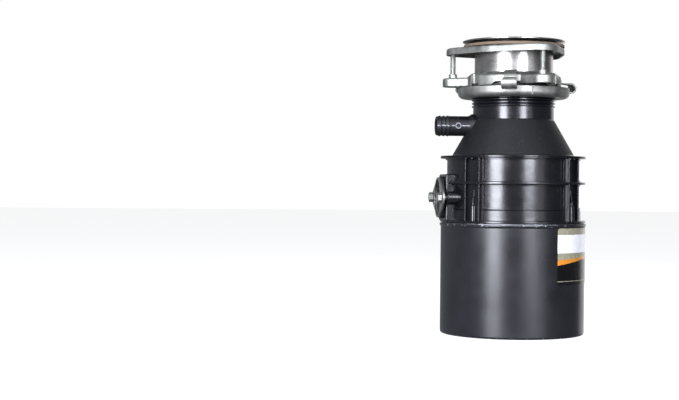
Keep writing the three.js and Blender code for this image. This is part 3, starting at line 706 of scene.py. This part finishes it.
finished("hopper_body", joined(shell, spigot), hopper_skin, "unit", ["hopper"])

# ---- Grind housing ----
# The body round the grinding parts, moulded in the same black plastic: two flanges, a middle rib, four
# pillars of paired fins over the screw bosses, and the square outlet port with its two bolt bosses.

house_low, house_top = heights("grind_housing")
BORE = 71.5
FLANGE = 80.6
SPREAD = 9
FIN_REACH = 79.6
PILLARS = [45, 135, 225, 315]
OUTLET_H = 151
OUTLET_BORE = 19
PORT_FACE = -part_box("discharge_gasket")[1].x / MM - 0.3
EAR = 33
RIB = (166, 169)


def bent(turns, levels, corner, inner, outer, every=3):
    """A rounded rectangle wrapped round the vertical axis, between two turns, heights and radii."""
    middle = (inner + outer) / 2
    length = math.radians(turns[1] - turns[0]) * middle
    tall = levels[1] - levels[0]
    corners = [(0, 0, corner), (length, 0, corner), (length, tall, corner), (0, tall, corner)]
    shape = raised(rounded(corners, 6), 0, outer - inner)
    bmesh.ops.translate(shape, vec=(0, 0, -BASE), verts=shape.verts)
    cuts = round((turns[1] - turns[0]) / every)
    for step in range(1, cuts):
        bmesh.ops.bisect_plane(shape, geom=[*shape.verts, *shape.edges, *shape.faces],
                               plane_co=(length * step / cuts * MM, 0, 0), plane_no=(1, 0, 0))
    for vert in shape.verts:
        around = bearing(turns[0] + math.degrees(vert.co.x / MM / middle), inner + vert.co.z / MM)
        vert.co = Vector((around.x * MM, around.y * MM, BASE + levels[0] * MM + vert.co.y))
    bmesh.ops.recalc_face_normals(shape, faces=shape.faces)
    return shape


PANEL = 73.3
FRAME = 75.0
barrel = turned(rounded([
    (BORE, house_low, 0.3), (FLANGE, house_low, 0.5), (FLANGE, house_low + 2.8, 0.5),
    (75.4, house_low + 2.9, 0.8), (75.3, 137.6, 0.5), (74, 138.2, 0.3), (FRAME, 138.9, 0.3),
    (FRAME, RIB[0], 0.5), (FLANGE - 0.2, RIB[0] + 0.1, 0.6), (FLANGE - 0.2, RIB[1] - 0.1, 0.6),
    (FRAME, RIB[1], 0.5), (FRAME, house_top - 1.3, 0.5), (FLANGE, house_top - 1.2, 0.3),
    (FLANGE, house_top, 0.3), (BORE, house_top, 0.3), (BORE, 127.6, 0.3), (67, 127.6, 0.3),
    (67, 125.6, 0.3), (BORE, 125.6, 0.3),
], 3))
for bay in (0, 90, 180, 270):
    across = (bay - 35.5, bay + 35.5)
    barrel = carved(barrel, bent(across, (171, 192.8), 1.6, PANEL, FRAME + 2))
    if bay != 270:
        barrel = carved(barrel, bent(across, (140.6, 164.2), 1.6, PANEL, FRAME + 2))


def on_frame(edge):
    """Whether an edge lies along the outer face of the frames round the panels."""
    return all(abs(math.hypot(v.co.x, v.co.y) - FRAME * MM) < 0.05 * MM for v in edge.verts)


barrel = eased(barrel, 0.9, on_frame, 3)


def pillar():
    """Two fins, the wall between them and the screw boss with its rib, at the front."""
    span = (house_low + 2.5, house_top - 1)
    fins = [block((x - 1, x + 1), (-FIN_REACH, -72.4), span, 0.45) for x in (-SPREAD, SPREAD)]
    wall = block((-SPREAD, SPREAD), (-75.4, -72.4), span, 0.3)
    boss = turned(rounded([(0, house_low + 1), (4.4, house_low + 1), (4.2, 142.6, 0.9), (2.2, 143.4, 0.6),
                           (2.2, 146.4, 1.4), (0, 146.6)], 5), 40, closed=False)
    rib = block((-0.9, 0.9), (-78.4, -74.5), (142, 160), 0.4)
    for vert in rib.verts:
        if vert.co.z > BASE + 150 * MM and vert.co.y < -76 * MM:
            vert.co.y += 2.9 * MM
    pad_levels = (house_top - 3.2, house_top - 0.9)
    pads = [block((x - 1.6, x + 1.6), (-FLANGE + 0.3, -76), pad_levels, 0.7) for x in (-8, 0)]
    return joined(*fins, wall, moved(boss, y=-75.2), rib, *pads)


port = block((-PORT_FACE, -60), (-25, 25), (house_low + 1, 177), 2.2, 4)
for extra in (
    block((-PORT_FACE, -64), (-EAR, EAR), (OUTLET_H - 6, OUTLET_H + 6), 1),
    level_bar(7, -PORT_FACE, -60, EAR, OUTLET_H, ease=0.8),
    level_bar(7, -PORT_FACE, -60, -EAR, OUTLET_H, ease=0.8),
    block((-PORT_FACE + 3.5, -64), (-26.2, 26.2), (169.2, 171), 0.5),
):
    port = carved(port, extra, "UNION")
port = carved(port, turned([(0, 120), (BORE + 0.6, 120), (BORE + 0.6, 180), (0, 180)], closed=False))
port = carved(port, level_bar(OUTLET_BORE, -PORT_FACE - 2, -55, 0, OUTLET_H, 72))
barrel = carved(barrel, level_bar(OUTLET_BORE, -PORT_FACE - 2, -55, 0, OUTLET_H, 72))
housing = joined(barrel, port, *[moved(pillar(), turn=facing) for facing in PILLARS])
housing_skin = moulded_black("glass-filled plastic, polished", 300, 302)
finished("grind_body", housing, housing_skin, "unit", ["grind_housing"])

# ---- Discharge flange ----
# A zinc-plated yoke and a rubber gasket that clamp the drain pipe to the port. Two hexagon bolts
# thread into the port's bosses.

plate_x = -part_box("discharge_flange")[1].x / MM
bolt_out = -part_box("discharge_bolt_1")[0].x / MM
BOLT_HEAD = 4.6


def faced(shape, x):
    """Stands a plan shape made at the base up at the outlet, facing along -X, with its foot at x."""
    return tipped(shape, {"Y": -1, "X": 1}, x, OUTLET_H)


face_plate = eased(raised(lobes(22.5, 8, EAR, (90, 270), 12, 12), 0, 2.2), 0.5)
seat_ring = turned(rounded([(20, 1), (22.2, 1), (22.2, 2.6, 0.3), (20, 2.6, 0.3)], 3), 72)
face_plate = carved(face_plate, post(20, -1, 4, steps=72))
for side in (-1, 1):
    face_plate = carved(face_plate, post(3.3, -1, 4, side * EAR))
finished("drain_yoke", faced(joined(face_plate, seat_ring), -plate_x), zinc, "unit", ["discharge_flange"])

pad = turned(rounded([(19.2, 0, 0.3), (23.5, 0, 0.3), (23.5, 2.4, 0.3), (19.2, 2.4, 0.3)], 3), 72)
finished("drain_gasket", faced(pad, -PORT_FACE - 0.3), rubber, "unit", ["discharge_gasket"])

for i, side in enumerate((-1, 1)):
    bolt = joined(
        eased(raised(hexagon(10), 0, BOLT_HEAD - 0.2), 0.4),
        post(4.4, BOLT_HEAD - 0.6, BOLT_HEAD, ease=0.2),
        post(2.55, -13.2, 0.5, ease=0.3),
        thread(2.55, 2.85, 1.0, -12.8, -1),
    )
    bolt = moved(faced(bolt, BOLT_HEAD - bolt_out), y=side * EAR)
    finished(f"drain_bolt_{i + 1}", bolt, zinc, "unit", [f"discharge_bolt_{i + 1}"])

# ---- Motor shell ----
# A can drawn from 1.4 mm steel, its mouth rolled into a bead, sprayed with charcoal enamel and baked.
# The enamel has a slight orange peel, is chipped on the bead and round the foot, and has small nicks.

can_top = heights("motor_shell")[1]
CAN = 80.0
BEAD = reach("motor_shell")
CAN_WALL = 1.4
RECESS = 4
RECESS_R = 56
SCREW_CIRCLE_BELOW = 44
COVER_SCREW_AT = 20.5


def charcoal_enamel():
    """Baked charcoal enamel: semi-gloss, softly uneven, chipped to bare steel at its edges, with scuffs."""
    made, tree, shader, where = new_material("charcoal baked enamel on steel")
    height = add(tree, "SeparateXYZ", (where,), output="Z")
    peel = add(tree, "TexNoise", (where, 1 / (1.6 * MM), 1, 0.5))
    clouds = add(tree, "TexNoise", (where, 1 / (30 * MM), 3, 0.5))
    smears = add(tree, "TexNoise", (where, 1 / (3.2 * MM), 7, 0.7))
    scuffs = add(tree, "MapRange", (smears, 0.64, 0.74, 0, 0.5))
    chipped_from, chipped_to = BASE + (can_top - 2.8) * MM, BASE + (can_top - 1) * MM
    near_bead = add(tree, "MapRange", (height, chipped_from, chipped_to, 0, 1))
    over_foot = add(tree, "Math", (height, BASE + 0.8 * MM), operation="SUBTRACT")
    over_foot = add(tree, "Math", (over_foot,), operation="ABSOLUTE")
    near_foot = add(tree, "MapRange", (over_foot, 0.3 * MM, 0.75 * MM, 0.9, 0))
    edges = add(tree, "Math", (near_bead, near_foot), operation="ADD")
    patches = add(tree, "TexNoise", (where, 1 / (3 * MM), 5, 0.5))
    worn = add(tree, "MapRange", (patches, 0.6, 0.64, 0, 1))
    chips = add(tree, "Math", (edges, worn), operation="MULTIPLY")
    specks = add(tree, "TexNoise", (where, 1 / (2.1 * MM), 6, 0.75))
    nicks = add(tree, "MapRange", (specks, 0.735, 0.76, 0, 0.9))
    bare = add(tree, "Math", (chips, nicks), operation="MAXIMUM")
    colour = add(tree, "Mix", (add(tree, "MapRange", (clouds, 0.3, 0.7, 0, 1)), "#131316", "#1b1b1f"),
                 data_type="RGBA")
    colour = add(tree, "Mix", (scuffs, colour, "#2f2f33"), data_type="RGBA")
    colour = add(tree, "Mix", (bare, colour, "#b8bac0"), data_type="RGBA")
    broad_rough = add(tree, "MapRange", (clouds, 0.3, 0.7, 0.27, 0.34))
    rubbed_rough = add(tree, "MapRange", (scuffs, 0, 0.5, 0, 0.12))
    rough = add(tree, "Math", (broad_rough, rubbed_rough), operation="ADD")
    uneven = add(tree, "TexNoise", (where, 1 / (40 * MM), 1, 0.5))
    dents = add(tree, "Bump", {"Height": uneven, "Strength": 0.12, "Distance": 0.004})
    bump = add(tree, "Bump", {"Height": peel, "Strength": 0.1, "Distance": 0.0003, "Normal": dents})
    fill(tree, shader, {"Base Color": colour, "Roughness": rough, "Metallic": bare, "Normal": bump})
    return made


enamel = charcoal_enamel()
inside = CAN - CAN_WALL
can = turned(rounded([
    (8.5, RECESS, 0.3), (RECESS_R, RECESS, 3), (RECESS_R + 4, 0, 2.5), (CAN, 0, 2.6),
    (CAN, can_top - 3.1, 2), (BEAD, can_top - 1.8, 0.7), (BEAD, can_top, 0.7), (inside + 1, can_top, 0.5),
    (inside, can_top - 2.1, 1), (inside, CAN_WALL, 3.4), (RECESS_R + 4.8, CAN_WALL, 1.5),
    (RECESS_R + 0.6, RECESS + CAN_WALL, 1.5), (8.5, RECESS + CAN_WALL, 0.3),
], 6), 180)
conduit = Vector((32, -18))
button = Vector((-30, -22))
collar = turned(rounded([
    (9, RECESS - 0.5), (13.5, RECESS - 0.5, 0.2), (13.5, RECESS + 1), (9, RECESS + 1),
], 2), 64)
can = carved(can, moved(collar, conduit.x, conduit.y), "UNION")
for hole in [post(11.1, 0, 8, conduit.x, conduit.y, 64), post(4.6, 0, 8, button.x, button.y),
             block((-18, 18), (24, 48), (0, 8), 2), post(1.9, 0, 8, 0, COVER_SCREW_AT)]:
    can = carved(can, hole)
for turn in (0, 120, 240):
    at = bearing(turn, SCREW_CIRCLE_BELOW)
    can = carved(can, post(1.9, 0, 8, at.x, at.y))
finished("motor_can", can, enamel, "unit", ["motor_shell"])

# ---- Rating label ----
# Polyester film, printed in bands and stuck round the side of the shell.
# It carries no text: only silver, white, orange and black bands and one thin line.

label_low, label_high = heights("rating_label")
LABEL_TURNS = (26, 102)


def printed_film():
    """Glossy printed film: silver, white, silver, an orange wedge over black. Bands follow the height."""
    made, tree, shader, where = new_material("printed polyester film")
    apart = add(tree, "SeparateXYZ", (where,)).node.outputs
    forward = add(tree, "Math", (apart["Y"], -1.0), operation="MULTIPLY")
    round_it = add(tree, "Math", (apart["X"], forward), operation="ARCTAN2")
    rise = add(tree, "MapRange", (round_it, math.radians(26), math.radians(59), 0, 1))
    wedge_foot = add(tree, "MapRange", (rise, 0, 1, BASE + 79.2 * MM, BASE + 85 * MM))
    wedge_head = add(tree, "MapRange", (rise, 0, 1, BASE + 85 * MM, BASE + 87.4 * MM))
    foil = add(tree, "TexNoise", (where, 1 / (5 * MM), 3, 0.5))
    silver = add(tree, "Mix", (foil, "#77745f", "#8f8c79"), data_type="RGBA")
    colour = "#0a0a0b"
    for level, band in ((BASE + 61.7 * MM, silver), (BASE + 62.4 * MM, "#060606"), (wedge_foot, "#c27a26"),
                        (wedge_head, silver), (BASE + 92.4 * MM, "#d9d8dc"), (BASE + 112 * MM, silver)):
        over = add(tree, "Math", (apart["Z"], level), operation="GREATER_THAN")
        colour = add(tree, "Mix", (over, colour, band), data_type="RGBA")
    rough = add(tree, "MapRange", (foil, 0.3, 0.7, 0.2, 0.3))
    fill(tree, shader, {"Base Color": colour, "Roughness": rough})
    return made


film = bent(LABEL_TURNS, (label_low, label_high), 3, CAN + 0.3, CAN + 0.55, 2)
finished("label_film", film, printed_film(), "unit", ["rating_label"])

# ---- Wiring cover, screws and reset button ----
# On the recessed base: an enamelled cover plate over the wiring room, plated pan-head screws, the
# green earth screw, and the red overload button, which drops 2.5 mm when it trips.

HEAD_RISE = 1.9


def pan_screw(x, y, seat, length, head):
    """A slotted pan-head screw, head down, with rolled thread."""
    face = seat - HEAD_RISE
    top = turned(rounded([(0, face), (head, face, 1.1), (head, seat, 0.15), (0, seat)], 4), 40, closed=False)
    top = carved(top, block((-6, 6), (-0.5, 0.5), (seat - 3, seat - 1.1)))
    return moved(joined(top, post(1.15, seat - 0.5, seat + length, ease=0.2),
                        thread(1.15, 1.42, 0.8, seat + 0.5, seat + length - 0.4, 14)), x, y)


for i in range(3):
    at = bearing(120 * i, SCREW_CIRCLE_BELOW)
    node = f"shell_screw_{i + 1}"
    base_screw = pan_screw(at.x, at.y, heights(node)[0] + HEAD_RISE, 12, 4)
    finished(f"base_screw_{i + 1}", base_screw, zinc, "unit", [node])
cover_low, cover_high = heights("terminal_cover")
cover = block((-21, 21), (16.5, 51), (cover_low, cover_high), 0.45)
cover = carved(cover, post(1.9, 0, 8, 0, COVER_SCREW_AT))
finished("wiring_cover", cover, enamel, "unit", ["terminal_cover"])
cover_screw = pan_screw(0, COVER_SCREW_AT, heights("cover_screw")[0] + HEAD_RISE, 8, 3)
finished("wiring_cover_screw", cover_screw, zinc, "unit", ["cover_screw"])


def dyed_paint(name, deep, light, even_rough):
    """A coloured finish with faint unevenness."""
    made, tree, shader, where = new_material(name)
    uneven = add(tree, "TexNoise", (where, 1 / (2.5 * MM), 3, 0.5))
    colour = add(tree, "Mix", (uneven, deep, light), data_type="RGBA")
    rough = add(tree, "MapRange", (uneven, 0.3, 0.7, even_rough - 0.06, even_rough + 0.06))
    fill(tree, shader, {"Base Color": colour, "Roughness": rough})
    return made


green_zinc = dyed_paint("green dyed zinc plate", "#1b5f30", "#2a7d43", 0.4)
earth_seat = heights("ground_screw")[0] + HEAD_RISE
finished("earth_screw", pan_screw(12, 36, earth_seat, 3.4, 4), green_zinc, "unit", ["ground_screw"])
button_low, button_high = heights("reset_button")
key = turned(rounded([
    (0, button_low + 0.25), (2.9, button_low + 0.25, 0.5), (3.4, button_low, 0.3),
    (4, button_low + 0.7, 0.4), (4, button_high, 0.3), (0, button_high),
], 4), 48, closed=False)
red_plastic = dyed_paint("red moulded plastic", "#8f1512", "#b3221c", 0.35)
finished("overload_button", moved(key, button.x, button.y), red_plastic, "reset", ["reset_button"])

# ---- Grinding parts, motor and seals ----
# Inside the unit and seen only through its openings. The CAD nodes have their real shapes, so they
# take their finishes: cast and stainless steels, laminations, wound copper, bronze, rubber.


def cast_metal(name, deep, light, even_rough):
    """Cast metal: dull and pebbled."""
    made, tree, shader, where = new_material(name)
    pebbles = add(tree, "TexNoise", (where, 1 / (1.2 * MM), 3, 0.5))
    bump = add(tree, "Bump", {"Height": pebbles, "Strength": 0.3, "Distance": 0.0003})
    colour = add(tree, "Mix", (pebbles, deep, light), data_type="RGBA")
    rough = add(tree, "MapRange", (pebbles, 0.3, 0.7, even_rough - 0.08, even_rough + 0.08))
    fill(tree, shader, {"Base Color": colour, "Roughness": rough, "Normal": bump, "Metallic": 1.0})
    return made


def layered_metal(name, deep, light, spacing_mm):
    """Stacked sheets or wound wire: fine level lines."""
    made, tree, shader, where = new_material(name)
    lines = turning_lines(tree, where, spacing_mm)
    bump = add(tree, "Bump", {"Height": lines, "Strength": 0.5, "Distance": 0.0004})
    colour = add(tree, "Mix", (lines, deep, light), data_type="RGBA")
    fill(tree, shader, {"Base Color": colour, "Normal": bump, "Metallic": 1.0, "Roughness": 0.45})
    return made


aluminium = cast_metal("die-cast aluminium", "#8b8d90", "#aaacaf", 0.48)
laminations = layered_metal("stacked electrical steel", "#4b4d52", "#6c6e73", 0.5)
magnet_wire = layered_metal("enamelled copper wire", "#7c431c", "#b56d34", 0.9)
bronze = cast_metal("sintered bronze", "#7d5d2a", "#a07c3e", 0.5)
inner_finishes = {
    stainless: ["shredder_ring", "shredder_plate", "shredder_nut", "swivel_lug_1", "swivel_lug_2",
                "lug_pin_1", "lug_pin_2"],
    bright_steel: ["motor_shaft"],
    aluminium: ["upper_end_frame", "lower_end_frame"],
    laminations: ["rotor_core", "stator_core"],
    magnet_wire: ["stator_winding_lower", "stator_winding_upper"],
    bronze: ["upper_bearing", "lower_bearing"],
    rubber: ["hopper_seal", "chamber_gasket", "water_slinger", "shaft_seal"],
    housing_skin: ["governor_hub", "governor_collar", "start_switch", "overload_protector"],
    zinc: [f"through_bolt_{i}" for i in (1, 2, 3, 4)],
}
for finish, nodes in inner_finishes.items():
    for name in nodes:
        coated(name, finish)

# ---- Studio ----
# The unit stands on a pale floor between two upright softboxes, left front and right front. A weak
# fill stands low on the right, a panel behind on the right, and a soft light hangs above.

CAMERA_TURN = 4.5  # the camera looks this far off the unit's own front, in degrees
DISTANCE = 1.620  # from the camera to the unit's axis, along the view
ASIDE = 0.1937  # the axis stands this far right of the middle of the view
EYE = 163.9  # the camera's height above the base, in millimetres

heading = math.radians(-CAMERA_TURN)
ahead = Vector((-math.sin(heading), math.cos(heading), 0))
right = Vector((ahead.y, -ahead.x, 0))
eye = -ahead * DISTANCE - right * ASIDE + Vector((0, 0, BASE + EYE * MM))
lens = bpy.data.cameras.new("camera")
lens.sensor_width = 36
lens.lens = 76.72
camera = placed("camera", lens)
TILT = math.radians(-0.594)
ROLL_TURN = math.radians(0.47)
look = (ahead * math.cos(TILT) + Vector((0, 0, math.sin(TILT)))).to_track_quat("-Z", "Y")
aim = look.to_matrix().to_4x4() @ Matrix.Rotation(ROLL_TURN, 4, "Z")
camera.matrix_world = Matrix.Translation(eye) @ aim
bpy.context.scene.camera = camera

ground = bmesh.new()
bmesh.ops.create_grid(ground, x_segments=1, y_segments=1, size=8.0,
                      matrix=Matrix.Translation((0, 0, BASE - 0.0002)))
floor = placed("floor", as_mesh("floor", ground))
floor.visible_glossy = False
floor.visible_shadow = False
paper, tree, shader, where = new_material("pale studio paper")
seen = add(tree, "LightPath", output="Is Camera Ray")
shade = add(tree, "Mix", (seen, "#7d7d7d", "#8c8c8c"), data_type="RGBA")
glow = add(tree, "MapRange", (seen, 0, 1, 0.05, 0.84))
fill(tree, shader, {"Base Color": shade, "Roughness": 0.9, "Emission Color": "#ffffff",
                    "Emission Strength": glow})
from_below = add(tree, "NewGeometry", output="Backfacing")  # clear from below, to show the base
clear = add(tree, "BsdfTransparent")
sheet = add(tree, "MixShader", (from_below, shader.outputs[0], clear))
fill(tree, tree.nodes["Material Output"], {"Surface": sheet})
floor.data.materials.append(paper)


def softbox(name, turn, distance, height, size, radiance, tint="#ffffff", tilt=0):
    """An upright area light at a turn from the front, facing the unit, tilted down by degrees."""
    lamp = bpy.data.lights.new(name, "AREA")
    lamp.shape = "RECTANGLE"
    lamp.size, lamp.size_y = size
    lamp.energy = radiance * math.pi * size[0] * size[1]
    lamp.color = linear(tint)[:3]
    holder = placed(name, lamp)
    spot = bearing(turn, distance)
    facing = Vector((-spot.x, -spot.y, -distance * math.tan(math.radians(tilt))))
    holder.matrix_world = (Matrix.Translation((spot.x, spot.y, height))
                           @ facing.to_track_quat("-Z", "Y").to_matrix().to_4x4())
    holder.visible_camera = False


softbox("left_softbox", -39, 1.8, 0.46, (0.6, 1.6), 28, "#f1f4ff")
softbox("right_softbox", 17, 1.9, 0.46, (0.54, 1.2), 24, "#f1f4ff")
softbox("right_fill", 30, 2.0, -0.16, (0.9, 1.6), 1.5, "#f1f4ff")
softbox("back_panel", 146, 1.6, 0.1, (1.3, 1.4), 1.0)
softbox("top_light", 10, 0.5, 1.5, (1.4, 1.4), 0.5, tilt=72)

world = bpy.data.worlds.new("studio")
bpy.context.scene.world = world
world.use_nodes = True
sky = world.node_tree
seen = add(sky, "LightPath", output="Is Camera Ray")
backdrop = add(sky, "Background", ("#ffffff", 1.0))
looking = add(sky, "SeparateXYZ", (add(sky, "TexCoord", output="Generated"),))
dimmer = add(sky, "MapRange", (looking, -0.1, 0.9, 0.34, 0.15))
room = add(sky, "Background", ("#e9ecf6", dimmer))
both = add(sky, "MixShader", (seen, room, backdrop))
fill(sky, sky.nodes["World Output"], {"Surface": both})
bpy.context.scene.view_settings.view_transform = "Standard"
